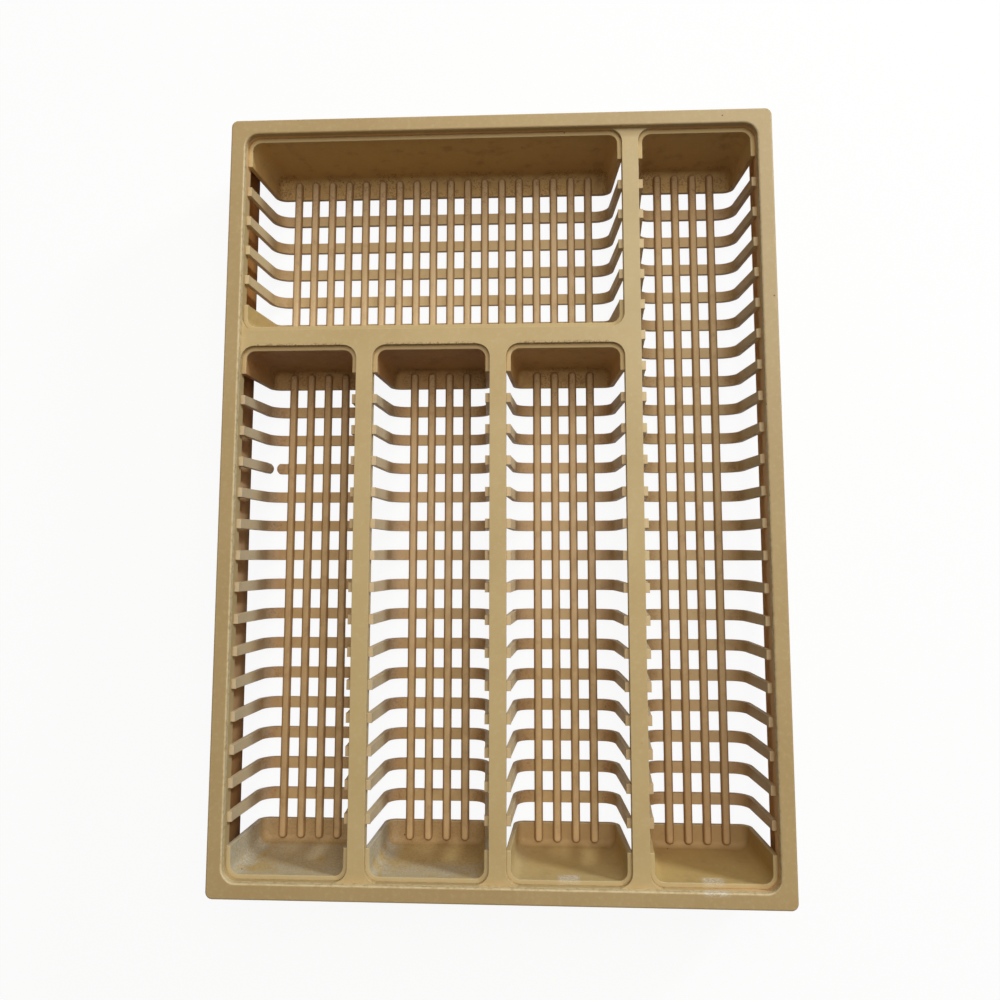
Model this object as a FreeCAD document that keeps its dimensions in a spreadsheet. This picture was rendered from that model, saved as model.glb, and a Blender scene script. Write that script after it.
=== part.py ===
import FreeCAD, Part
import math
import os
import Sketcher

# A one-piece moulded cutlery tray: a rim with a hanging skirt, four dividers, and five open
# compartments. Each compartment has a closed scoop at its head and at its foot, and between them
# U-shaped ribs that carry half-round bars along the floor.
# Origin under the middle of the tray on the surface it stands on, +Y towards the head, +Z up.

# Sizes in millimetres
SIZES = {
    "rim_length": 340.0,  # outside of the rim, head to foot
    "rim_width": 243.6,  # outside of the rim, left to right
    "tray_height": 44.5,  # top of the rim above the surface
    "rim_band": 6.6,  # width of the flat band around the top
    "band_thick": 3.0,  # the dividers' tops lie this far below the rim's top
    "rim_round": 0.8,  # edges of the band's top
    "skirt_lift": 8.5,  # skirt's lower edge above the surface
    "skirt_thick": 1.8,
    "skirt_corner": 1.2,  # the skirt's inner corners in plan
    "wall_thick": 1.8,  # inner wall under the band
    "lip_drop": 2.0,  # tops of scoops and ribs below the dividers' tops
    "collar_depth": 3.5,  # upright stretch where scoops and ribs hold to walls and dividers
    "divider_width": 7.2,
    "corner_round": 6.0,  # compartments' corners in plan, and the dividers' flared ends
    "flare_tip": 0.1,  # thickness left at the tip of a flare
    "scoop_length": 13.9,  # scoops at the rim, from the inner wall to their open edge
    "trim_room": 10.0,  # scoops are made longer by this and then cut to their open edge
    "shell": 2.0,  # thickness of scoops and ribs
    "base_inset": 2.2,  # how far the sides lean in from the collar to the base
    "floor_bend": 3.0,  # inner bend between a scoop's walls and its floor
    "rib_bend": 6.5,  # inner bend between a rib's legs and its floor
    "corner_margin": 1.0,  # corners at the base are this much rounder than the bend
    "rib_width": 5.0,  # at the floor
    "slot_draft": 0.45,  # how far each flank of the open rows leans out from floor to lip
    "bar_width": 3.9,
    "bar_height": 1.9,
    "bar_round": 1.5,  # rounding of a bar's top
    "nose_flat": 0.2,  # half of what stays straight across a bar's nose and its top
    "nose_gap": 1.2,  # bars stop this far short of the foot of a scoop's wall
    "break_place": 5.2,  # middle of the snapped rib's gap, from the compartment's left side
    "break_gap": 1.8,  # between the tips of the snapped rib's two rounded ends
    "break_blunt": 0.3,  # the ends are rounded by this much more than half a rib
}

# Numbers of things
COUNTS = {
    "long_rows": 22,  # open rows between the scoops of the long compartment
    "wide_rows": 5,
    "lost_rows": 2,  # rows taken up by the cross divider and the scoops beside it
    "column_bars": 4,
    "bars_per_column": 7,  # places for bars from one column to the next
    "broken_rib": 3,  # snapped rib of the left compartment, counted from its head
}

# Columns of the tray, left to right; the wide compartment spans the head of all but the last
COLUMNS = ("left", "middle", "right", "long")
DIVIDERS = len(COLUMNS) - 1
WIDE_PITCHES = len(COLUMNS) - 2

TOUCH = 1e-4  # two things closer than this are taken to be in one place


class Size:
    """A value together with the sheet expression that gives it."""

    def __init__(self, value, text):
        self.value = value
        self.text = text

    def __add__(self, other):
        other = as_size(other)
        return Size(self.value + other.value, f"({self.text} + {other.text})")

    def __sub__(self, other):
        other = as_size(other)
        return Size(self.value - other.value, f"({self.text} - {other.text})")

    def __mul__(self, other):
        other = as_size(other)
        return Size(self.value * other.value, f"({self.text} * {other.text})")

    def __truediv__(self, other):
        other = as_size(other)
        return Size(self.value / other.value, f"({self.text} / {other.text})")

    def __neg__(self):
        return Size(-self.value, f"(0 - {self.text})")

    def root(self):
        return Size(math.sqrt(self.value), f"sqrt({self.text})")

    def at_most(self, other):
        return Size(min(self.value, other.value), f"min({self.text}; {other.text})")


def as_size(number):
    """Takes a Size as it is and wraps a plain number."""
    return number if isinstance(number, Size) else Size(number, str(number))


NAUGHT = as_size(0.0)  # the surface's level, and a sketch's own middle

doc = FreeCAD.newDocument("cutlery_tray")
sheet = doc.addObject("Spreadsheet::Sheet", "size")
cells = {}


def enter(alias, value, content):
    """Writes one row of the sheet and returns its cell as a Size."""
    row = len(cells) + 1
    sheet.set(f"A{row}", alias)
    sheet.set(f"B{row}", content)
    sheet.setAlias(f"B{row}", alias)
    cells[alias] = Size(value, f"size.{alias}")
    return cells[alias]


def derive(alias, size):
    """Adds a worked-out size to the sheet."""
    return enter(alias, size.value, "=" + size.text.replace("size.", ""))


for alias, value in (SIZES | COUNTS).items():
    enter(alias, value, str(value))

rim_half_x = cells["rim_width"] / 2
rim_half_y = cells["rim_length"] / 2
tray_height = cells["tray_height"]
divider_width = cells["divider_width"]
corner_round = cells["corner_round"]
scoop_length = cells["scoop_length"]
shell = cells["shell"]
base_inset = cells["base_inset"]
rib_width = cells["rib_width"]
bar_width = cells["bar_width"]
bar_height = cells["bar_height"]

# Levels above the surface
band_z = derive("band_z", tray_height - cells["band_thick"])
lip_z = derive("lip_z", band_z - cells["lip_drop"])
collar_z = derive("collar_z", lip_z - cells["collar_depth"])

# Outer corners in plan
rim_corner = derive("rim_corner", cells["skirt_corner"] + cells["skirt_thick"])

# Columns, left to right, between the inner walls
inner_x = derive("inner_x", rim_half_x - cells["rim_band"])
column_width = derive("column_width", (inner_x * 2 - divider_width * DIVIDERS) / len(COLUMNS))
column_pitch = derive("column_pitch", column_width + divider_width)
wide_width = derive("wide_width", column_width + column_pitch * WIDE_PITCHES)
bar_pitch = derive("bar_pitch", column_pitch / cells["bars_per_column"])
wide_bars = derive("wide_bars", cells["column_bars"] + cells["bars_per_column"] * WIDE_PITCHES)

# Rows, head to foot: a rib or a divider may stand on each row line
inner_y = derive("inner_y", rim_half_y - cells["rim_band"])
scoop_edge = derive("scoop_edge", inner_y - scoop_length)
row_pitch = derive("row_pitch", (scoop_edge * 2 + rib_width) / cells["long_rows"])
first_line = derive("first_line", scoop_edge + rib_width / 2)
cross_y = derive("cross_y", first_line - row_pitch * (cells["wide_rows"] + 1))
cross_scoop = derive("cross_scoop", row_pitch + rib_width / 2 - divider_width / 2)
column_rows = derive("column_rows", cells["long_rows"] - cells["wide_rows"] - cells["lost_rows"])

# Bends between sides and floor
floor_inset = derive("floor_inset", base_inset * (collar_z - shell) / collar_z)
base_round = derive("base_round", cells["floor_bend"] + shell)
base_corner = derive("base_corner", base_round + cells["corner_margin"])
wall_foot = derive("wall_foot", shell + floor_inset)

# Rounding of a bar's nose in plan, and of its top within what its width and height leave
nose_round = derive("nose_round", bar_width / 2 - cells["nose_flat"])
crown_room = nose_round.at_most(bar_height) - cells["nose_flat"]
bar_crown = derive("bar_crown", cells["bar_round"].at_most(crown_room))
doc.recompute()


def new_body(label, x=None, y=None, turn=0):
    """Starts a sub-part at a place in plan, turned about the vertical by some degrees."""
    body = doc.addObject("PartDesign::Body", label)
    body.Label = label
    body.AllowCompound = True
    body.Placement.Rotation = FreeCAD.Rotation(FreeCAD.Vector(0, 0, 1), turn)
    for axis, place in (("x", x), ("y", y)):
        if place is not None:
            body.setExpression(f"Placement.Base.{axis}", place.text)
    return body


def origin_plane(body, role):
    """Finds one of the body's own origin planes."""
    return next(item for item in body.Origin.OriginFeatures if item.Role == role)


def new_sketch(body, name, role="XY_Plane", level=None):
    """Starts a sketch on one of the body's origin planes, raised to a level."""
    sketch = body.newObject("Sketcher::SketchObject", f"{body.Name}_{name}")
    sketch.AttachmentSupport = [(origin_plane(body, role), "")]
    sketch.MapMode = "FlatFace"
    if level is not None:
        sketch.setExpression("AttachmentOffset.Base.z", level.text)
    return sketch


def arc_between(start, end, centre, left):
    """Makes an arc from start to end, drawn anticlockwise as a sketch keeps it."""
    ends = (start, end) if left else (end, start)
    angles = [math.atan2(point.y - centre.y, point.x - centre.x) for point in ends]
    circle = Part.Circle(centre, FreeCAD.Vector(0, 0, 1), centre.distanceToPoint(start))
    return Part.ArcOfCircle(circle, *angles)


def rounded_corner(before, corner, after, radius):
    """Works out the arc that rounds a corner: its ends, its centre and whether it turns left."""
    back = (before - corner).normalize()
    ahead = (after - corner).normalize()
    half = back.getAngle(ahead) / 2
    start = corner + back * (radius / math.tan(half))
    end = corner + ahead * (radius / math.tan(half))
    centre = corner + (back + ahead).normalize() * (radius / math.sin(half))
    left = (corner - before).cross(after - corner).z > 0
    return start, end, centre, left


def hollow_centre(start, end, radius):
    """Finds the centre of an arc from start to end that curves to the right."""
    middle = (start + end) / 2
    chord = end - start
    rise = math.sqrt(radius ** 2 - (chord.Length / 2) ** 2)
    return middle + FreeCAD.Vector(chord.y, -chord.x, 0).normalize() * rise


def bind(sketch, kind, geometry, size, *point):
    """Adds one dimension to a sketch and ties it to the sheet."""
    number = sketch.addConstraint(Sketcher.Constraint(kind, geometry, *point, size.value))
    name = f"{kind}_{number}"
    sketch.renameConstraint(number, name)
    sketch.setExpression(f"Constraints.{name}", size.text)


def outline(sketch, corners):
    """Draws a closed loop through corners and ties all its sizes to the sheet.

    A corner is (x, y), (x, y, rounding), or (x, y, None, hollow) where the edge that leaves it is
    an arc of the radius hollow that curves to the right. The loop runs anticlockwise.
    """
    corners = [tuple(corner) + (None,) * (4 - len(corner)) for corner in corners]
    points = [FreeCAD.Vector(x.value, y.value, 0) for x, y, _, _ in corners]
    total = len(corners)
    bends = []
    for i, (_, _, rounding, _) in enumerate(corners):
        around = points[i - 1], points[i], points[(i + 1) % total]
        bends.append(rounded_corner(*around, rounding.value) if rounding else None)
    edges = []
    for i, (_, _, _, hollow) in enumerate(corners):
        ahead = (i + 1) % total
        start = bends[i][1] if bends[i] else points[i]
        end = bends[ahead][0] if bends[ahead] else points[ahead]
        if hollow:
            edge = arc_between(start, end, hollow_centre(start, end, hollow.value), False)
        else:
            edge = Part.LineSegment(start, end)
        number = sketch.addGeometry(edge, False)
        edges.append((number, 2, 1) if hollow else (number, 1, 2))
    for i, (x, y, rounding, hollow) in enumerate(corners):
        before, _, before_end = edges[i - 1]
        here, here_start, _ = edges[i]
        held = (here, here_start)
        if rounding:
            arc = sketch.addGeometry(arc_between(*bends[i]), False)
            point = sketch.addGeometry(Part.Point(points[i]), True)
            held = (point, 1)
            entry, leave = (1, 2) if bends[i][3] else (2, 1)
            sketch.addConstraint([
                Sketcher.Constraint("Tangent", before, before_end, arc, entry),
                Sketcher.Constraint("Tangent", arc, leave, here, here_start),
                Sketcher.Constraint("PointOnObject", point, 1, before),
                Sketcher.Constraint("PointOnObject", point, 1, here),
            ])
            bind(sketch, "Radius", arc, rounding)
        else:
            sketch.addConstraint(
                Sketcher.Constraint("Coincident", before, before_end, here, here_start)
            )
        if hollow:
            bind(sketch, "Radius", here, hollow)
        bind(sketch, "DistanceX", held[0], x, held[1])
        bind(sketch, "DistanceY", held[0], y, held[1])


def rectangle(half_x, half_y, rounding):
    """Lists the corners of a rounded rectangle about the origin."""
    return [
        (-half_x, -half_y, rounding),
        (half_x, -half_y, rounding),
        (half_x, half_y, rounding),
        (-half_x, half_y, rounding),
    ]


def pad(body, sketch, length, symmetric=False):
    """Raises a sketch by a length, or by half of it to either side."""
    feature = body.newObject("PartDesign::Pad", f"{sketch.Name}_pad")
    feature.Profile = sketch
    feature.setExpression("Length", length.text)
    if symmetric:
        feature.SideType = "Symmetric"
    doc.recompute()
    return feature


def repeat(body, sketch, axis, spacing, count):
    """Repeats what the body holds so far along an axis of a sketch."""
    pattern = body.newObject("PartDesign::LinearPattern", f"{body.Name}_row")
    pattern.TransformMode = "Whole shape"
    pattern.Direction = (sketch, [axis])
    pattern.Mode = "Spacing"
    pattern.setExpression("Offset", spacing.text)
    pattern.setExpression("Occurrences", count.text)
    body.Tip = pattern
    doc.recompute()
    return pattern


def level_edges(feature, level, wanted=None):
    """Names the edges of a feature that lie at a level and, where asked, pass a test."""
    names = []
    for number, edge in enumerate(feature.Shape.Edges, 1):
        box = edge.BoundBox
        flat = box.ZLength < TOUCH and abs(box.ZMin - level.value) < TOUCH
        if flat and (wanted is None or wanted(edge)):
            names.append(f"Edge{number}")
    return names


def round_edges(body, feature, names, radius):
    """Rounds the named edges of a feature."""
    fillet = body.newObject("PartDesign::Fillet", f"{feature.Name}_round")
    fillet.Base = (feature, names)
    fillet.setExpression("Radius", radius.text)
    doc.recompute()
    return fillet


def make_ring(label, outer, hole, low, high, turn=0):
    """Makes a band or wall around the tray: two rounded rectangles raised between two levels."""
    body = new_body(label, turn=turn)
    sketch = new_sketch(body, "plan", level=low)
    outline(sketch, rectangle(*outer))
    outline(sketch, rectangle(*hole))
    return body, pad(body, sketch, high - low)


def make_rim_side(label, turn, rest):
    """Makes one side of the flat band, mitred at both ends, with the edges of its top rounded.

    The band is made whole, and then the rest of it, a loop of corners in plan, is cut away.
    """
    outer = (rim_half_x, rim_half_y, rim_corner)
    hole = (inner_x, inner_y, corner_round)
    body, band = make_ring(label, outer, hole, band_z, tray_height, turn)
    round_edges(body, band, level_edges(band, tray_height), cells["rim_round"])
    sketch = new_sketch(body, "rest", level=tray_height)
    outline(sketch, rest)
    cut = body.newObject("PartDesign::Pocket", f"{label}_mitre")
    cut.Profile = sketch
    cut.setExpression("Length", cells["band_thick"].text)
    doc.recompute()


def make_rim():
    """Makes the four sides of the band, which meet along the diagonals of its corners."""
    mitre = rim_half_y - rim_half_x
    far = rim_half_y + rim_half_x
    below_head = [(-far, -far), (far, -far), (far, far + mitre), (NAUGHT, mitre), (-far, far + mitre)]
    beside_right = [(-far, -far), (far - mitre, -far), (-mitre, NAUGHT), (far - mitre, far), (-far, far)]
    make_rim_side("rim_head", 0, below_head)
    make_rim_side("rim_foot", 180, below_head)
    make_rim_side("rim_right", 0, beside_right)
    make_rim_side("rim_left", 180, beside_right)


def make_outer_skirt():
    """Makes the wall that hangs from the band's outer edge."""
    thick = cells["skirt_thick"]
    outer = (rim_half_x, rim_half_y, rim_corner)
    hole = (rim_half_x - thick, rim_half_y - thick, cells["skirt_corner"])
    make_ring("outer_skirt", outer, hole, cells["skirt_lift"], band_z)


def make_inner_wall():
    """Makes the low wall that hangs from the band's inner edge."""
    thick = cells["wall_thick"]
    outer = (inner_x + thick, inner_y + thick, corner_round + thick)
    hole = (inner_x, inner_y, corner_round)
    make_ring("inner_wall", outer, hole, collar_z, band_z)


def make_divider(label, x, y, length, turn):
    """Makes a divider centred on a place, with both ends flared to meet what they stand against."""
    body = new_body(label, x, y, turn)
    sketch = new_sketch(body, "plan", level=collar_z)
    side = divider_width / 2
    end = length / 2
    tip = cells["flare_tip"]
    tip_x = side + corner_round - (corner_round * tip * 2 - tip * tip).root()
    outline(sketch, [
        (-tip_x, -end),
        (tip_x, -end),
        (tip_x, tip - end, None, corner_round),
        (side, corner_round - end),
        (side, end - corner_round, None, corner_round),
        (tip_x, end - tip),
        (tip_x, end),
        (-tip_x, end),
        (-tip_x, end - tip, None, corner_round),
        (-side, end - corner_round),
        (-side, corner_round - end, None, corner_round),
        (-tip_x, tip - end),
    ])
    pad(body, sketch, band_z - collar_z)


def cut_across(body, sketch, width):
    """Cuts a sketch out of a body, by half of a width to either side."""
    cut = body.newObject("PartDesign::Pocket", f"{sketch.Name}_cut")
    cut.Profile = sketch
    cut.SideType = "Symmetric"
    cut.setExpression("Length", width.text)
    doc.recompute()


def trim_open_edge(body, width, reach):
    """Cuts a scoop back to its open edge, which leans out of the row as the ribs' flanks do."""
    sketch = new_sketch(body, "open_edge", "YZ_Plane")
    lip_y = cells["slot_draft"] - reach
    far_y = -reach - cells["trim_room"] * 2
    outline(sketch, [
        (far_y, -shell),
        (-reach, -shell),
        (-reach, NAUGHT),
        (lip_y, collar_z),
        (lip_y, lip_z + shell),
        (far_y, lip_z + shell),
    ])
    cut_across(body, sketch, width + shell * 2)


def make_scoop(label, x, y, width, reach, turn):
    """Makes the closed end of a compartment, with its end wall's outer face at y."""
    body = new_body(label, x, y, turn)
    mouth = new_sketch(body, "mouth", level=collar_z)
    base = new_sketch(body, "base")
    cavity_mouth = new_sketch(body, "cavity_mouth", level=collar_z)
    cavity_base = new_sketch(body, "cavity_base", level=shell)
    side = width / 2
    open_y = -reach - cells["trim_room"]
    for sketch, inset, corner in (
        (mouth, NAUGHT, corner_round),
        (base, base_inset, base_corner),
        (cavity_mouth, shell, corner_round - shell),
        (cavity_base, wall_foot, base_corner - shell),
    ):
        outline(sketch, [
            (inset - side, open_y),
            (side - inset, open_y),
            (side - inset, -inset, corner),
            (inset - side, -inset, corner),
        ])

    def walled(edge):
        return edge.BoundBox.YMax > open_y.value + TOUCH

    loft = body.newObject("PartDesign::AdditiveLoft", f"{body.Name}_loft")
    loft.Profile = mouth
    loft.Sections = [base]
    loft.Ruled = True
    doc.recompute()
    round_edges(body, loft, level_edges(loft, NAUGHT, walled), base_round)
    pad(body, mouth, cells["collar_depth"])
    cavity = body.newObject("PartDesign::SubtractiveLoft", f"{body.Name}_cavity")
    cavity.Profile = cavity_mouth
    cavity.Sections = [cavity_base]
    cavity.Ruled = True
    doc.recompute()
    round_edges(body, cavity, level_edges(cavity, shell, walled), cells["floor_bend"])
    opening = body.newObject("PartDesign::Pocket", f"{body.Name}_opening")
    opening.Profile = cavity_mouth
    opening.setExpression("Length", cells["collar_depth"].text)
    opening.Reversed = True
    doc.recompute()
    trim_open_edge(body, width, reach)


def make_ribs(label, x, y, width, count):
    """Makes the hoops of a compartment, from its first rib at y towards the foot."""
    body = new_body(label, x, y)
    sketch = new_sketch(body, "section", "XZ_Plane")
    side = width / 2
    inner = side - shell
    bend = cells["rib_bend"]
    outline(sketch, [
        (-side, lip_z),
        (-side, collar_z),
        (base_inset - side, NAUGHT, bend + shell),
        (side - base_inset, NAUGHT, bend + shell),
        (side, collar_z),
        (side, lip_z),
        (inner, lip_z),
        (inner, collar_z),
        (inner - floor_inset, shell, bend),
        (floor_inset - inner, shell, bend),
        (-inner, collar_z),
        (-inner, lip_z),
    ])
    hoop = pad(body, sketch, rib_width, symmetric=True)
    flanks = []
    for number, face in enumerate(hoop.Shape.Faces, 1):
        if face.BoundBox.YLength < TOUCH:
            flanks.append(f"Face{number}")
    draft = body.newObject("PartDesign::Draft", f"{body.Name}_draft")
    draft.Base = (hoop, flanks)
    draft.NeutralPlane = (origin_plane(body, "XY_Plane"), [""])
    draft.setExpression("Angle", f"atan({cells['slot_draft'].text} / {lip_z.text})")
    doc.recompute()
    repeat(body, sketch, "N_Axis", row_pitch, count)
    return body


def snap_rib(body, width):
    """Takes the gap between the two rounded ends of the snapped rib out of a compartment's ribs."""
    sketch = new_sketch(body, "gap")
    x = cells["break_place"] - width / 2
    y = row_pitch - row_pitch * cells["broken_rib"]
    half = rib_width / 2 + cells["slot_draft"]
    rounding = half + cells["break_blunt"]
    edge = cells["break_gap"] / 2 + rounding - (rounding * rounding - half * half).root()
    outline(sketch, [
        (x - edge, y - half),
        (x + edge, y - half, None, rounding),
        (x + edge, y + half),
        (x - edge, y + half, None, rounding),
    ])
    cut_across(body, sketch, (shell + cells["rib_bend"]) * 2)


def seat_noses(body, reach):
    """Cuts the ends of a bar to the bends of the two walls, whose outer faces are at a reach."""
    sketch = new_sketch(body, "seats", "YZ_Plane")
    bend = cells["floor_bend"]
    foot_y = reach - wall_foot
    flat_y = foot_y - bend * 2
    seat = [
        (flat_y, NAUGHT),
        (reach, NAUGHT),
        (reach, collar_z),
        (reach - shell, collar_z),
        (foot_y, shell, bend),
        (flat_y, shell),
    ]
    outline(sketch, seat)
    outline(sketch, [(-y, *rest) for y, *rest in reversed(seat)])
    cut_across(body, sketch, bar_width * 2)


def make_floor_bars(label, x, head, foot, count):
    """Makes the bars along a compartment's floor, between the outer faces of its end walls."""
    body = new_body(label, x - bar_pitch * (count - 1) / 2, (head + foot) / 2)
    sketch = new_sketch(body, "plan", level=shell)
    reach = (head - foot) / 2
    outline(sketch, rectangle(bar_width / 2, reach - wall_foot - cells["nose_gap"], nose_round))
    bar = pad(body, sketch, bar_height)
    round_edges(body, bar, level_edges(bar, shell + bar_height), bar_crown)
    seat_noses(body, reach)
    repeat(body, sketch, "H_Axis", bar_pitch, count)


def make_compartment(name, x, width, head, foot, rows, bars):
    """Makes the scoops, ribs and bars of a compartment; head and foot are (wall y, scoop reach)."""
    head_y, head_reach = head
    foot_y, foot_reach = foot
    make_scoop(f"{name}_head_scoop", x, head_y, width, head_reach, 0)
    make_scoop(f"{name}_foot_scoop", x, foot_y, width, foot_reach, 180)
    first_rib = head_y - head_reach + rib_width / 2 - row_pitch
    ribs = make_ribs(f"{name}_ribs", x, first_rib, width, rows - 1)
    make_floor_bars(f"{name}_floor_bars", x, head_y, foot_y, bars)
    return ribs


make_rim()
make_outer_skirt()
make_inner_wall()

cross_head = cross_y + divider_width / 2
cross_foot = cross_y - divider_width / 2
make_divider("long_divider", column_pitch, None, inner_y * 2, 0)
wide_x = wide_width / 2 - inner_x
make_divider("cross_divider", wide_x, cross_y, wide_width, 90)
short_length = cross_foot + inner_y
short_y = cross_foot - short_length / 2
make_divider("left_divider", -column_pitch, short_y, short_length, 0)
make_divider("middle_divider", None, short_y, short_length, 0)

rim_head = (inner_y, scoop_length)
rim_foot = (-inner_y, scoop_length)
above_cross = (cross_head, cross_scoop)
below_cross = (cross_foot, cross_scoop)
make_compartment("wide", wide_x, wide_width, rim_head, above_cross, cells["wide_rows"], wide_bars)
for number, name in enumerate(COLUMNS):
    column_x = column_pitch * number + column_width / 2 - inner_x
    head, rows = (below_cross, column_rows)
    if name == "long":
        head, rows = (rim_head, cells["long_rows"])
    ribs = make_compartment(name, column_x, column_width, head, rim_foot, rows, cells["column_bars"])
    if name == "left":
        snap_rib(ribs, column_width)

doc.recompute()
for item in doc.Objects:
    if "Invalid" in item.State or "Error" in item.State:
        raise RuntimeError(f"{item.Label} failed: {item.State}")

os.makedirs("parts", exist_ok=True)
for body in doc.findObjects("PartDesign::Body"):
    if body.Shape.isNull() or not body.Shape.isValid():
        raise RuntimeError(f"{body.Label} has no valid shape")
    box = body.Shape.BoundBox
    print(f"{body.Label}: {len(body.Shape.Solids)} solids, {body.Shape.Volume:.0f} mm3, "
          f"x {box.XMin:.1f} to {box.XMax:.1f}, y {box.YMin:.1f} to {box.YMax:.1f}, "
          f"z {box.ZMin:.1f} to {box.ZMax:.1f}")
    body.Shape.exportStep(f"parts/{body.Label}.step")
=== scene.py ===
import bpy
from mathutils import Euler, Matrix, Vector

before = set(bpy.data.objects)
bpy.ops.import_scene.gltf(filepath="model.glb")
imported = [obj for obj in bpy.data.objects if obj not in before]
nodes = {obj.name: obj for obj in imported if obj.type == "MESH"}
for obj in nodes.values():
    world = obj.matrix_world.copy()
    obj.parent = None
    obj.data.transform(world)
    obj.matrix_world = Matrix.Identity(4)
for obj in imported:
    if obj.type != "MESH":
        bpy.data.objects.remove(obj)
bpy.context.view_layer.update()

# Plastics, in linear light
RIM_TAN = (0.455, 0.322, 0.152)
DIVIDER_TAN = (0.54, 0.400, 0.193)
SKIRT_TAN = (0.50, 0.370, 0.180)
FOOT_TAN = (0.53, 0.372, 0.140)
# The head scoops are deeper and more orange than the foot scoops: painted shade, the warm bounced
# light their walls lie in, darkest at the left and middle heads.
HEAD_TANS = {
    "wide": (0.62, 0.41, 0.165),
    "left": (0.45, 0.235, 0.085),
    "middle": (0.45, 0.235, 0.085),
    "right": (0.62, 0.375, 0.140),
    "long": (0.62, 0.41, 0.165),
}
RIB_TANS = {
    "wide": (0.57, 0.43, 0.235),
    "left": (0.55, 0.375, 0.190),
    "middle": (0.51, 0.350, 0.170),
    "right": (0.51, 0.350, 0.170),
    "long": (0.58, 0.44, 0.250),
}
BAR_TANS = {
    "wide": (0.67, 0.505, 0.305),
    "left": (0.54, 0.365, 0.190),
    "middle": (0.60, 0.415, 0.220),
    "right": (0.60, 0.415, 0.220),
    "long": (0.60, 0.44, 0.250),
}
AGEING = (0.93, 0.91, 0.87)
PLASTIC_IOR = 1.49

# Worn and dirty colours, and painted light and shade, in linear light
PALE_TAN = (0.68, 0.56, 0.34)
RUBBED_TAN = (0.72, 0.53, 0.33)
WINDOW_SHEEN_TAN = (0.56, 0.50, 0.35)
LIP_TAN = (0.53, 0.405, 0.205)
DEEP_TAN = (0.46, 0.30, 0.13)
FLOOR_TAN = (0.37, 0.235, 0.105)
BOUNCED_LIGHT_TAN = (0.78, 0.49, 0.240)
SKIRT_SHADE_BROWN = (0.47, 0.215, 0.060)
SKIRT_MIDDLE_BROWN = (0.60, 0.40, 0.225)
BEND_BROWN = (0.355, 0.190, 0.080)
FLANK_SHADE_BROWN = (0.27, 0.145, 0.055)
STAIN_AND_SHADE_BROWN = (0.20, 0.105, 0.045)
DARK_DIRT = (0.045, 0.026, 0.014)
GREY_FILM_AND_COOL_LIGHT = (0.53, 0.535, 0.48)
CHALK = (0.82, 0.81, 0.78)

# The grey coating, partly painted cool window light: its strength, and for the scoops also the
# least share of it away from the left
RIB_FILM_AND_COOL_LIGHT = {"left": 0.30, "middle": 0.25, "right": 0.1}
FOOT_FILM_AND_COOL_LIGHT = {"left": (0.9, 0.55), "middle": (0.95, 0.1), "right": (0.2, 0.35)}

# Places on the tray and lengths, in millimetres
MM = 1000.0
LIP = 39.5
INNER_X, INNER_Y, INNER_ROUND = 115.2, 163.4, 6.0
SKIRT_X, SKIRT_Y, SKIRT_ROUND = 120.4, 168.6, 1.2
CROSS_Y, CROSS_EDGE = 69.1, 65.5
DIVIDER_X, DIVIDER_HALF = (-59.4, 0.0, 59.4), 3.6
JOINT_HALF, JOINT_DEPTH, JOINT_SOFT = 9.4, 1.0, 0.2
COMPARTMENT_X = {"wide": -29.7, "left": -89.1, "middle": -29.7, "right": 29.7, "long": 89.1}
COMPARTMENT_HALF = {"wide": 85.5, "left": 26.1, "middle": 26.1, "right": 26.1, "long": 26.1}
SHORT_COLUMNS = ("left", "middle", "right")
HEAD_Y = {"wide": INNER_Y, "long": INNER_Y, **dict.fromkeys(SHORT_COLUMNS, CROSS_EDGE)}
EDGE_ROUND, SCOOP_ROUND = 0.35, 0.8
CORNER_REACH = 2.2
BUMP_DEPTH = 0.22

# The room, in metres and watts
FLOOR_SIZE = 30.0
FLOOR_WOOD = (0.30, 0.19, 0.09)
FLOOR_MATT = (0.9, 0.9, 0.9)
FLOOR_GLOW = 0.92
WHITE = (1.0, 1.0, 1.0)
ROOM_COLOUR, ROOM_STRENGTH = (1.0, 0.94, 0.84), 0.05
CENTRE, CENTRE_OF_RIM = (0.0, 0.0, 0.0), (0.0, 0.0, 0.04)

# The camera, fitted to the photograph
SENSOR, LENS, SHIFT_Y = 36.0, 31.097, -0.0407
CAMERA_PLACE = (0.01956, -0.02597, 0.41447)
CAMERA_TURN = (0.10634, 0.04961, 0.00049)
NEAREST = 0.01


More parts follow.
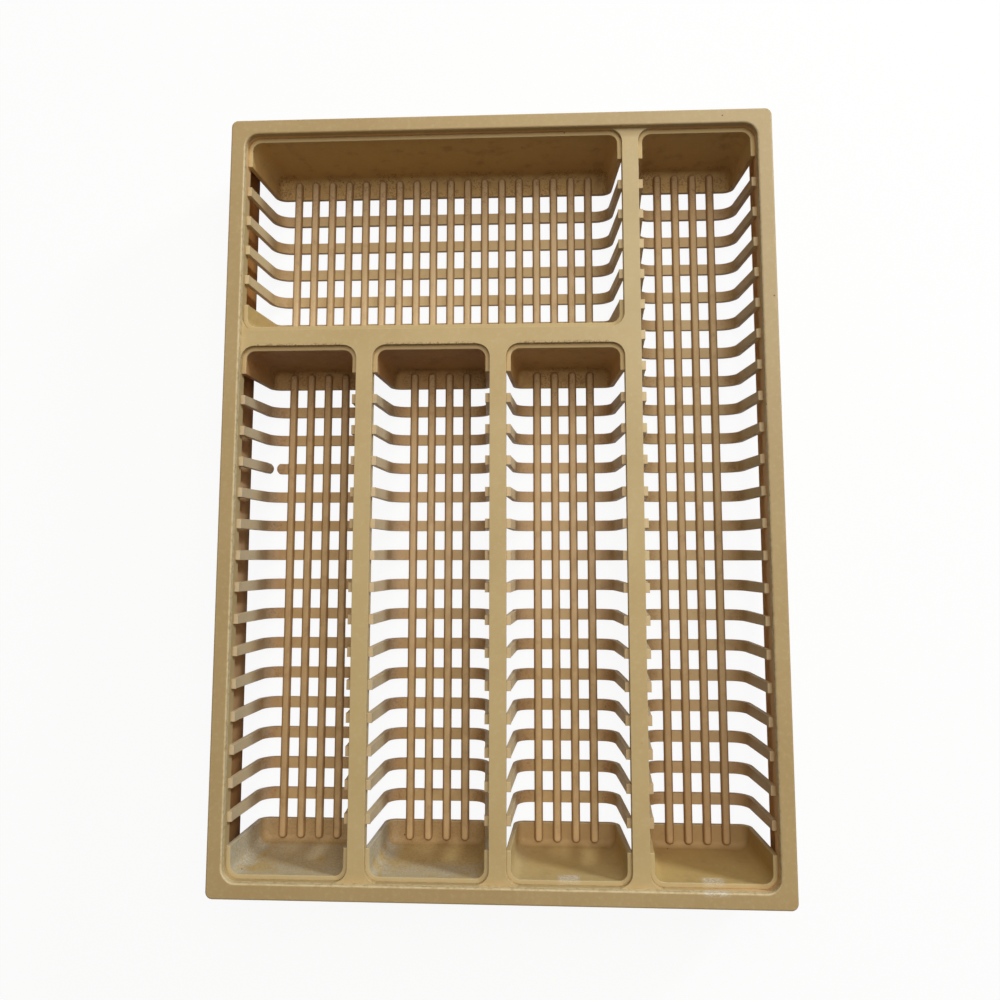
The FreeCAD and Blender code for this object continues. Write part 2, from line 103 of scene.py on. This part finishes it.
class Plastic:
    """Used moulded plastic, built up in layers of colour from the new to the worn and the dirty,
    with painted light and shade among the layers.
    """

    def __init__(self, name, body, edge=EDGE_ROUND):
        self.material = bpy.data.materials.new(name)
        self.material.use_nodes = True
        self.tree = self.material.node_tree
        self.tree.nodes.clear()
        scaled = self.node("ShaderNodeVectorMath", operation="SCALE")
        self.join(self.node("ShaderNodeTexCoord").outputs["Object"], scaled.inputs[0])
        scaled.inputs["Scale"].default_value = MM
        self.place = scaled.outputs[0]
        parts = self.node("ShaderNodeSeparateXYZ")
        self.join(self.place, parts.inputs[0])
        self.x, self.y, self.z = parts.outputs
        self.normal = self.node("ShaderNodeNewGeometry").outputs["Normal"]
        self.edge = self.find_edges(edge) if edge else None

        cloud = self.rise(self.noise(34.0, detail=3.0, seed=3.1), 0.3, 0.75)
        aged = tuple(c * s for c, s in zip(body, AGEING))
        self.colour = self.mix(cloud, body, aged)
        self.mottle = self.noise(2.2, detail=3.0, rough=0.6, seed=7.7)
        self.layer(PALE_TAN, self.rise(self.mottle, 0.45, 0.8), 0.18)

    def node(self, kind, **settings):
        made = self.tree.nodes.new(kind)
        for key, value in settings.items():
            setattr(made, key, value)
        return made

    def join(self, value, socket):
        """Feeds a socket from another one, or sets it to a constant."""
        if isinstance(value, bpy.types.NodeSocket):
            self.tree.links.new(value, socket)
        elif isinstance(value, tuple) and socket.type == "RGBA":
            socket.default_value = (*value, 1.0)
        else:
            socket.default_value = value

    def math(self, operation, *values):
        made = self.node("ShaderNodeMath", operation=operation)
        for value, socket in zip(values, made.inputs):
            self.join(value, socket)
        return made.outputs[0]

    def times(self, *values):
        result = values[0]
        for value in values[1:]:
            result = self.math("MULTIPLY", result, value)
        return result

    def either(self, *values):
        result = values[0]
        for value in values[1:]:
            result = self.math("MAXIMUM", result, value)
        return result

    def rise(self, value, low, high):
        """A smooth step from 0 at low to 1 at high, or down where low is the larger."""
        made = self.node("ShaderNodeMapRange", interpolation_type="SMOOTHSTEP")
        self.join(value, made.inputs["Value"])
        flip = low > high
        made.inputs["From Min"].default_value = min(low, high)
        made.inputs["From Max"].default_value = max(low, high)
        made.inputs["To Min"].default_value = 1.0 if flip else 0.0
        made.inputs["To Max"].default_value = 0.0 if flip else 1.0
        return made.outputs["Result"]

    def band(self, value, low, high, soft):
        """1 between low and high, fading over soft on either side."""
        up = self.rise(value, low - soft, low + soft)
        return self.times(up, self.rise(value, high + soft, high - soft))

    def patch(self, centre, half, soft):
        """1 inside a box about a place, fading out at its sides; a side of None has no end."""
        masks = []
        for axis, middle, reach in zip((self.x, self.y, self.z), centre, half):
            if reach is not None:
                masks.append(self.band(axis, middle - reach, middle + reach, soft))
        return self.times(*masks)

    def off_centre(self, x):
        """Distance to either side of a line along the tray."""
        return self.math("ABSOLUTE", self.math("SUBTRACT", self.x, x))

    def beyond(self, half_x, half_y, rounding):
        """Distance outside a rounded rectangle in plan, below 0 near its inside."""
        squares = []
        for axis, half in ((self.x, half_x), (self.y, half_y)):
            past = self.math("SUBTRACT", self.math("ABSOLUTE", axis), half - rounding)
            past = self.math("MAXIMUM", past, 0.0)
            squares.append(self.times(past, past))
        return self.math("SUBTRACT", self.math("SQRT", self.math("ADD", *squares)), rounding)

    def shaped(self, size, stretch, seed):
        """The place in steps of size millimetres, drawn out by stretch and moved on by seed."""
        made = self.node("ShaderNodeVectorMath", operation="MULTIPLY_ADD")
        self.join(self.place, made.inputs[0])
        made.inputs[1].default_value = [1.0 / (size * s) for s in stretch]
        made.inputs[2].default_value = (seed, seed * 1.7, seed * 2.3)
        return made.outputs[0]

    def noise(self, size, detail=2.0, rough=0.5, stretch=(1.0, 1.0, 1.0), seed=0.0):
        """Cloudy noise from 0 to 1 whose lumps are about size millimetres."""
        made = self.node("ShaderNodeTexNoise")
        self.join(self.shaped(size, stretch, seed), made.inputs["Vector"])
        made.inputs["Scale"].default_value = 1.0
        made.inputs["Detail"].default_value = detail
        made.inputs["Roughness"].default_value = rough
        return made.outputs["Fac"]

    def strewn(self, size, low, high, seed):
        """Soft patches about size millimetres wide."""
        return self.rise(self.noise(size, seed=seed), low, high)

    def mix(self, share, low, high):
        made = self.node("ShaderNodeMix", data_type="RGBA")
        self.join(share, made.inputs["Factor"])
        self.join(low, made.inputs["A"])
        self.join(high, made.inputs["B"])
        return made.outputs["Result"]

    def find_edges(self, radius):
        """Rounds sharp edges to the eye and returns where they are."""
        bevel = self.node("ShaderNodeBevel", samples=6)
        bevel.inputs["Radius"].default_value = radius / MM
        turn = self.node("ShaderNodeVectorMath", operation="DOT_PRODUCT")
        self.join(bevel.outputs["Normal"], turn.inputs[0])
        self.join(self.normal, turn.inputs[1])
        self.normal = bevel.outputs["Normal"]
        return self.rise(turn.outputs["Value"], 0.995, 0.86)

    def keep_flat(self, mask):
        """Leaves the rounding out where pieces of the moulding meet."""
        made = self.node("ShaderNodeMix", data_type="VECTOR")
        self.join(mask, made.inputs["Factor"])
        self.join(self.normal, made.inputs["A"])
        self.join(self.node("ShaderNodeNewGeometry").outputs["Normal"], made.inputs["B"])
        self.normal = made.outputs["Result"]

    def layer(self, colour, *shares):
        """Lays a colour over what is there, by the product of shares."""
        self.colour = self.mix(self.times(*shares), self.colour, colour)

    def deepen_painted_shade(self, share):
        """Darkens towards the floor, in blotches: painted shade of the deep compartments, blotched
        like staining.
        """
        low = self.rise(self.z, 30.0, 3.0)
        blotch = self.rise(self.noise(16.0, detail=3.0, seed=11.0), 0.25, 0.75)
        self.layer(DEEP_TAN, low, self.math("MULTIPLY_ADD", blotch, 0.5, 0.5), share)

    def blot(self, *shares):
        """Brown stains."""
        spots = self.rise(self.noise(7.0, detail=4.0, rough=0.62, seed=19.0), 0.50, 0.78)
        self.layer(STAIN_AND_SHADE_BROWN, spots, *shares)

    def film_and_cool_light(self, mask, share):
        """A grey scaly coating, partly real and partly painted cool window light on the faces
        turned to the window.
        """
        grain = self.rise(self.noise(0.9, detail=2.0, rough=0.7, seed=23.0), 0.38, 0.66)
        grain = self.math("MULTIPLY_ADD", grain, 0.6, 0.4)
        self.layer(GREY_FILM_AND_COOL_LIGHT, grain, self.strewn(9.0, 0.20, 0.52, seed=29.0), mask, share)

    def pale_wear_and_highlight(self, mask, share):
        """Lays pale tan: rubbed wear, and a painted highlight where edges catch the light."""
        self.layer(PALE_TAN, mask, self.rise(self.mottle, 0.2, 0.6), share)

    def paint_lit_lip(self, share):
        """Paints a scoop's lip lighter and less orange: painted light on the top of its wall."""
        self.layer(LIP_TAN, self.rise(self.z, LIP - 1.0, LIP - 0.3), share)

    def corner_shade_and_dirt(self, share):
        """Browns the corners found by ambient occlusion: painted corner shade, and dirt gathered
        there.
        """
        shade = self.node("ShaderNodeAmbientOcclusion", samples=8)
        shade.inputs["Distance"].default_value = CORNER_REACH / MM
        corner = self.rise(shade.outputs["AO"], 0.75, 0.25)
        uneven = self.rise(self.noise(3.0, detail=3.0, rough=0.6, seed=31.0), 0.30, 0.70)
        self.layer(STAIN_AND_SHADE_BROWN, corner, uneven, share)

    def crumbs(self, mask, share):
        """Fine dark crumbs of dirt."""
        grains = self.rise(self.noise(0.9, detail=2.0, rough=0.7, seed=37.0), 0.47, 0.60)
        self.layer(STAIN_AND_SHADE_BROWN, mask, grains, share)

    def scuff(self, centre, half):
        """A chalky scuff of fine streaks."""
        streaks = self.noise(0.4, detail=2.0, rough=0.6, stretch=(2.2, 1.0, 1.0), seed=41.0)
        self.layer(CHALK, self.patch(centre, half, soft=1.4), self.rise(streaks, 0.36, 0.62), 0.7)

    def paint_window_sheen(self, share):
        """Paints a pale grey sheen of the window's light on the tray's corner towards the right and
        the head.
        """
        to_right, to_head = self.rise(self.x, -20.0, 120.0), self.rise(self.y, -60.0, 120.0)
        self.layer(WINDOW_SHEEN_TAN, to_right, to_head, share)

    def shade_flanks(self, share):
        """Painted shade: browns the steep faces and leaves the crowns lighter."""
        parts = self.node("ShaderNodeSeparateXYZ")
        self.join(self.node("ShaderNodeNewGeometry").outputs["Normal"], parts.inputs[0])
        self.layer(FLANK_SHADE_BROWN, self.rise(parts.outputs["Z"], 0.975, 0.72), share)

    def soil(self, column):
        """Dirt on the floor towards the head of a compartment, and pale rubbing where cutlery rubs.
        """
        head = HEAD_Y[column]
        near = self.rise(self.y, head - 60.0, head - 10.0)
        self.layer(BEND_BROWN, near, 0.35 if column == "long" else 0.2)
        nearer = self.rise(self.y, head - 32.0, head - 12.0)
        self.crumbs(self.times(nearer, self.strewn(5.0, 0.42, 0.60, seed=61.0)), 0.45)
        if column in ("middle", "right"):
            self.layer(RUBBED_TAN, self.band(self.y, low=-60.0, high=25.0, soft=25.0), 0.34)
        if column == "long":
            self.layer(BEND_BROWN, self.rise(self.y, -30.0, -150.0), 0.4)

    def specks(self, share):
        """Small dark dots, of which a share shows."""
        made = self.node("ShaderNodeTexVoronoi")
        self.join(self.shaped(5.0, (1.0, 1.0, 1.0), 5.0), made.inputs["Vector"])
        made.inputs["Scale"].default_value = 1.0
        dot = self.rise(made.outputs["Distance"], 0.11, 0.05)
        chance = self.node("ShaderNodeSeparateColor")
        self.join(made.outputs["Color"], chance.inputs[0])
        self.layer(DARK_DIRT, dot, self.rise(chance.outputs["Red"], share, share * 0.6), 0.8)

    def finish(self, rough, gloss):
        """Adds a fine grain and a slight ripple, and returns the material."""
        grain = self.noise(0.35, detail=2.0, rough=0.6, seed=43.0)
        ripple = self.noise(14.0, detail=1.0, seed=47.0)
        rub = self.noise(5.0, detail=3.0, seed=53.0)
        height = self.math("MULTIPLY_ADD", ripple, 2.2, self.times(grain, 0.35))
        bump = self.node("ShaderNodeBump")
        bump.inputs["Strength"].default_value = 0.35
        bump.inputs["Distance"].default_value = BUMP_DEPTH / MM
        self.join(height, bump.inputs["Height"])
        self.join(self.normal, bump.inputs["Normal"])
        shader = self.node("ShaderNodeBsdfPrincipled")
        self.join(self.colour, shader.inputs["Base Color"])
        self.join(self.math("MULTIPLY_ADD", rub, 0.22, rough), shader.inputs["Roughness"])
        shader.inputs["IOR"].default_value = PLASTIC_IOR
        shader.inputs["Specular IOR Level"].default_value = gloss
        self.join(bump.outputs["Normal"], shader.inputs["Normal"])
        out = self.node("ShaderNodeOutputMaterial")
        self.join(shader.outputs[0], out.inputs["Surface"])
        return self.material


def dress(material, *names):
    """Gives nodes of the tray a material."""
    for name in names:
        slots = nodes[name].data.materials
        slots.clear()
        slots.append(material)


def rim_plastic():
    """The flat band: a painted highlight along its inner edge, faded out at the head where it lies
    in shade, a painted sheen of the window's light at the head-right, with a scuff at the foot.
    """
    p = Plastic("rim_plastic", RIM_TAN, edge=None)
    past_edge = p.beyond(INNER_X, INNER_Y, INNER_ROUND)
    inner_edge = p.band(past_edge, low=-0.3, high=0.45, soft=0.25)
    # Painted highlight along the inner edge, faded out towards the head, where the edge lies in
    # shade.
    p.pale_wear_and_highlight(p.times(inner_edge, p.rise(p.y, INNER_Y - 1.0, INNER_Y - 8.0)), 0.85)
    p.paint_window_sheen(0.22)
    p.scuff((COMPARTMENT_X["long"], -INNER_Y - 0.2, 0.0), (4.8, 0.8, None))
    p.specks(0.05)
    return p.finish(rough=0.40, gloss=0.28)


def divider_plastic():
    """The dividers: pale edges where they stand free, worn and partly painted highlight, a painted
    sheen of the window's light at the head-right, dirt along the cross divider's foot side.
    """
    p = Plastic("divider_plastic", DIVIDER_TAN)
    joints = [p.patch((x, CROSS_EDGE, 0.0), (JOINT_HALF, JOINT_DEPTH, None), JOINT_SOFT)
              for x in DIVIDER_X[:2]]
    joints.append(p.patch((DIVIDER_X[2] - DIVIDER_HALF, CROSS_Y, 0.0),
                          (JOINT_DEPTH, JOINT_HALF, None), JOINT_SOFT))
    joined = p.either(*joints)
    p.keep_flat(joined)
    p.pale_wear_and_highlight(p.times(p.edge, p.math("SUBTRACT", 1.0, joined)), 0.8)
    heads = [p.patch((COMPARTMENT_X[column], CROSS_EDGE + 0.3, 0.0), (20.0, 0.5, None), soft=0.5)
             for column in SHORT_COLUMNS]
    p.paint_window_sheen(0.3)
    p.crumbs(p.either(*heads), 0.8)
    p.specks(0.05)
    return p.finish(rough=0.40, gloss=0.28)


def skirt_plastic():
    """The skirt: tan outside; the face turned to the compartments in painted shade browns, with
    painted bounced light at the right and some stains.
    """
    p = Plastic("skirt_plastic", SKIRT_TAN)
    p.pale_wear_and_highlight(p.edge, 0.4)
    inside = p.rise(p.beyond(SKIRT_X, SKIRT_Y, SKIRT_ROUND), 0.2, -0.2)
    middle = p.band(p.y, low=-115.0, high=40.0, soft=35.0)
    hem = p.rise(p.z, 17.0, 10.0)
    to_foot = p.rise(p.y, -100.0, -150.0)
    to_right = p.rise(p.x, -20.0, 20.0)
    # Painted shade on the inside face: dark brown, lighter along the middle, darker low down and
    # towards the foot; painted bounced light makes it lighter at the right.
    p.layer(SKIRT_SHADE_BROWN, inside, 0.95)
    p.layer(SKIRT_MIDDLE_BROWN, inside, middle, 0.8)
    p.layer(STAIN_AND_SHADE_BROWN, inside, hem, 0.5)
    p.layer(STAIN_AND_SHADE_BROWN, inside, to_foot, 0.65)
    p.layer(BOUNCED_LIGHT_TAN, inside, to_right, 0.9)
    p.blot(0.3)
    return p.finish(rough=0.7, gloss=0.06)


def wall_plastic():
    """The low wall under the rim's inner edge, lighter at the right and the head in painted warm
    bounced light.
    """
    p = Plastic("wall_plastic", SKIRT_TAN)
    p.deepen_painted_shade(0.4)
    # Painted bounced light: warmer and lighter at the right and the head, where the wall faces away
    # from the lamps.
    p.layer(BOUNCED_LIGHT_TAN, p.either(p.rise(p.x, 60.0, 110.0), p.rise(p.y, 120.0, 160.0)), 0.8)
    p.corner_shade_and_dirt(0.5)
    return p.finish(rough=0.5, gloss=0.2)


def head_plastic(column):
    """A scoop at a head: coloured and darkened towards the floor in painted shade, stained, with
    crumbs in the bend and on the floor.
    """
    p = Plastic(f"{column}_head_plastic", HEAD_TANS[column], edge=SCOOP_ROUND)
    p.deepen_painted_shade(0.7)
    p.blot(0.35)
    p.paint_lit_lip(0.7)
    p.pale_wear_and_highlight(p.edge, 0.5)
    p.corner_shade_and_dirt(0.7)
    bend, floor = p.band(p.z, low=3.0, high=8.0, soft=2.5), p.rise(p.z, 4.5, 2.5)
    p.crumbs(p.times(bend, p.strewn(11.0, 0.40, 0.62, seed=59.0)), 0.75)
    p.crumbs(p.times(floor, p.strewn(6.0, 0.38, 0.62, seed=67.0)), 0.55)
    p.specks(0.15)
    return p.finish(rough=0.5, gloss=0.2)


def foot_plastic(column):
    """A scoop at a foot: some have a grey coating at the left and the lip that is partly painted
    cool window light, some a white scuff.
    """
    x = COMPARTMENT_X[column]
    p = Plastic(f"{column}_foot_plastic", FOOT_TAN, edge=SCOOP_ROUND)
    p.deepen_painted_shade(0.5)
    p.layer(FLOOR_TAN, p.rise(p.z, 7.0, 2.5), 0.8)
    p.blot(0.2)
    if column in FOOT_FILM_AND_COOL_LIGHT:
        film_and_cool_light, least = FOOT_FILM_AND_COOL_LIGHT[column]
        left = p.rise(p.x, x - 12.0, x - 20.0)
        to_lip = p.times(p.rise(p.z, 18.0, 32.0), 0.7)
        off_floor = p.math("MULTIPLY_ADD", p.rise(p.z, 3.0, 9.0), 0.85, 0.15)
        p.film_and_cool_light(p.times(p.either(left, to_lip, least), off_floor), film_and_cool_light)
        p.crumbs(p.rise(p.z, LIP - 2.0, LIP - 8.0), 0.25 * film_and_cool_light)
    p.paint_lit_lip(0.85)
    p.pale_wear_and_highlight(p.edge, 0.5)
    p.corner_shade_and_dirt(0.6)
    if column in ("right", "long"):
        p.scuff((x, -INNER_Y + 3.0, LIP - 2.8), (4.2, 2.4, 2.6))
    p.specks(0.05)
    return p.finish(rough=0.45, gloss=0.22)


def rib_plastic(column):
    """Ribs: brown in the bends between legs and floor, dark painted shade along the low edges, some
    with a grey coating on the left legs that is partly painted cool window light.
    """
    x, half = COMPARTMENT_X[column], COMPARTMENT_HALF[column]
    filmed_and_cool_lit = column in RIB_FILM_AND_COOL_LIGHT
    p = Plastic(f"{column}_rib_plastic", RIB_TANS[column])
    p.deepen_painted_shade(0.35)
    # Paler up the legs towards the rim: partly painted light, partly chalky bleaching.
    p.layer(PALE_TAN, p.rise(p.z, 8.0, 20.0), 0.35)
    bend = p.band(p.off_centre(x), low=half - 10.0, high=half - 3.5, soft=2.0)
    low = p.rise(p.z, 18.0, 7.0)
    p.layer(BEND_BROWN, bend, low, 0.6 if filmed_and_cool_lit else 0.35)
    p.blot(p.math("MULTIPLY_ADD", p.times(bend, low), 0.7, 0.3), 0.55)
    p.crumbs(p.times(bend, low, p.strewn(6.0, 0.40, 0.60, seed=71.0)), 0.5 if filmed_and_cool_lit else 0.25)
    if filmed_and_cool_lit:
        p.film_and_cool_light(p.rise(p.x, x - half + 9.0, x - half + 4.0), RIB_FILM_AND_COOL_LIGHT[column])
    p.soil(column)
    # Painted shade: dark brown along the low edges, where the ribs' side faces lie in shade.
    p.layer(BEND_BROWN, p.edge, p.rise(p.z, 12.0, 4.0), 0.55)
    p.pale_wear_and_highlight(p.times(p.edge, p.rise(p.z, 8.0, 16.0)), 0.4)
    p.corner_shade_and_dirt(0.6)
    return p.finish(rough=0.45, gloss=0.22)


def bar_plastic(column):
    """The bars along the floor: painted shade on their steep sides against lighter crowns, dirty
    ends.
    """
    p = Plastic(f"{column}_bar_plastic", BAR_TANS[column])
    p.deepen_painted_shade(0.35)
    p.blot(0.35)
    p.soil(column)
    p.shade_flanks(0.8)
    p.corner_shade_and_dirt(0.7)
    return p.finish(rough=0.45, gloss=0.22)


dress(rim_plastic(), "rim_head", "rim_foot", "rim_left", "rim_right")
dress(divider_plastic(), "long_divider", "cross_divider", "left_divider", "middle_divider")
dress(skirt_plastic(), "outer_skirt")
dress(wall_plastic(), "inner_wall")
for column in COMPARTMENT_X:
    dress(head_plastic(column), f"{column}_head_scoop")
    dress(bar_plastic(column), f"{column}_floor_bars")
    dress(foot_plastic(column), f"{column}_foot_scoop")
    dress(rib_plastic(column), f"{column}_ribs")


def seen_rays(tree):
    """1 for the rays by which the camera, mirrors and glass see a surface."""
    path = tree.nodes.new("ShaderNodeLightPath")
    rays = path.outputs["Is Camera Ray"]
    for kind in ("Is Glossy Ray", "Is Transmission Ray"):
        either = tree.nodes.new("ShaderNodeMath")
        either.operation = "MAXIMUM"
        tree.links.new(rays, either.inputs[0])
        tree.links.new(path.outputs[kind], either.inputs[1])
        rays = either.outputs[0]
    return rays


def coloured(tree, kind, colour):
    """A shader of one colour."""
    made = tree.nodes.new(kind)
    made.inputs["Color"].default_value = (*colour, 1.0)
    return made


def blend(tree, share, first, second):
    """Mixes two shaders by a share, a constant or a socket."""
    mixed = tree.nodes.new("ShaderNodeMixShader")
    if isinstance(share, float):
        mixed.inputs["Fac"].default_value = share
    else:
        tree.links.new(share, mixed.inputs["Fac"])
    tree.links.new(first, mixed.inputs[1])
    tree.links.new(second, mixed.inputs[2])
    return mixed.outputs[0]


def make_floor():
    """The floor: white to the eye but for a trace of shadow, wood in the light it sends back."""
    bpy.ops.mesh.primitive_plane_add(size=FLOOR_SIZE)
    floor = bpy.context.object
    floor.name = "floor"
    material = bpy.data.materials.new("floor_white")
    material.use_nodes = True
    tree = material.node_tree
    tree.nodes.clear()
    wood = coloured(tree, "ShaderNodeBsdfDiffuse", FLOOR_WOOD)
    matt = coloured(tree, "ShaderNodeBsdfDiffuse", FLOOR_MATT)
    white = coloured(tree, "ShaderNodeEmission", WHITE)
    seen = blend(tree, FLOOR_GLOW, matt.outputs[0], white.outputs[0])
    surface = blend(tree, seen_rays(tree), wood.outputs[0], seen)
    out = tree.nodes.new("ShaderNodeOutputMaterial")
    tree.links.new(surface, out.inputs["Surface"])
    floor.data.materials.append(material)


def make_world():
    """Even light from all round, white where it is looked at."""
    world = bpy.data.worlds.new("room")
    bpy.context.scene.world = world
    world.use_nodes = True
    tree = world.node_tree
    tree.nodes.clear()
    plain = coloured(tree, "ShaderNodeBackground", ROOM_COLOUR)
    plain.inputs["Strength"].default_value = ROOM_STRENGTH
    white = coloured(tree, "ShaderNodeBackground", WHITE)
    surface = blend(tree, seen_rays(tree), plain.outputs[0], white.outputs[0])
    out = tree.nodes.new("ShaderNodeOutputWorld")
    tree.links.new(surface, out.inputs["Surface"])


def make_lamp(name, place, aim, size, power, colour):
    """A square soft lamp at a place, turned to what it lights."""
    lamp = bpy.data.lights.new(name, "AREA")
    lamp.shape = "SQUARE"
    lamp.size = size
    lamp.energy = power
    lamp.color = colour
    holder = bpy.data.objects.new(name, lamp)
    bpy.context.scene.collection.objects.link(holder)
    holder.location = place
    holder.rotation_euler = (Vector(place) - Vector(aim)).to_track_quat("Z", "Y").to_euler()


def make_camera():
    """The photograph's viewpoint, nearly straight above the tray."""
    camera = bpy.data.cameras.new("camera")
    camera.sensor_width = SENSOR
    camera.lens = LENS
    camera.shift_y = SHIFT_Y
    camera.clip_start = NEAREST
    holder = bpy.data.objects.new("camera", camera)
    bpy.context.scene.collection.objects.link(holder)
    holder.location = CAMERA_PLACE
    holder.rotation_euler = Euler(CAMERA_TURN)
    bpy.context.scene.camera = holder


make_floor()
make_world()
make_lamp("overhead", place=(0.28, 0.52, 1.45), aim=CENTRE, size=1.4, power=21.0,
          colour=(1.0, 0.95, 0.87))
make_lamp("window", place=(0.95, 0.82, 0.50), aim=CENTRE_OF_RIM, size=0.19, power=9.8,
          colour=(0.84, 0.94, 1.0))
make_camera()
bpy.context.scene.view_settings.view_transform = "Standard"
